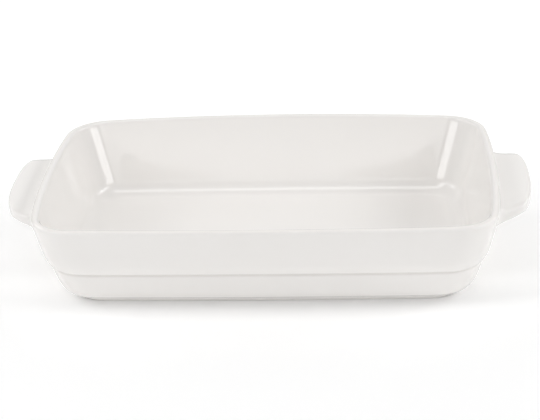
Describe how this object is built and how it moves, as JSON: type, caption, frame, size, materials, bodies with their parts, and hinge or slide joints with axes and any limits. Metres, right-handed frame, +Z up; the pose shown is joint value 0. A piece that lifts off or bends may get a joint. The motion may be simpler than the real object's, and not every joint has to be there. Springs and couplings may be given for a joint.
{
  "type": "baking dish",
  "caption": "Rectangular glazed stoneware baking dish with a banded, outward-leaning wall, rounded corners, a ground foot ring and a flat lug handle on each end.",
  "frame": {"origin": "on the table surface, under the middle of the dish", "axes": "+Z up, +X along the length from the left handle to the right one, +Y to the back long side"},
  "size_m": [0.3654, 0.2128, 0.0633],
  "materials": {
    "white_glaze": "glossy transparent-over-white glaze, slightly warm white",
    "biscuit": "fired unglazed stoneware, matt",
    "ground_biscuit": "bare stoneware ground flat, fine sandy matt",
    "slip": "fired joining slip, matt"
  },
  "bodies": {
    "root": {"stoneware_body": "biscuit", "foot_ring": "ground_biscuit", "glaze_coat": "white_glaze", "handle_right": "biscuit", "handle_left": "biscuit", "luting_slip_right": "slip", "luting_slip_left": "slip"}
  },
  "joints": []
}
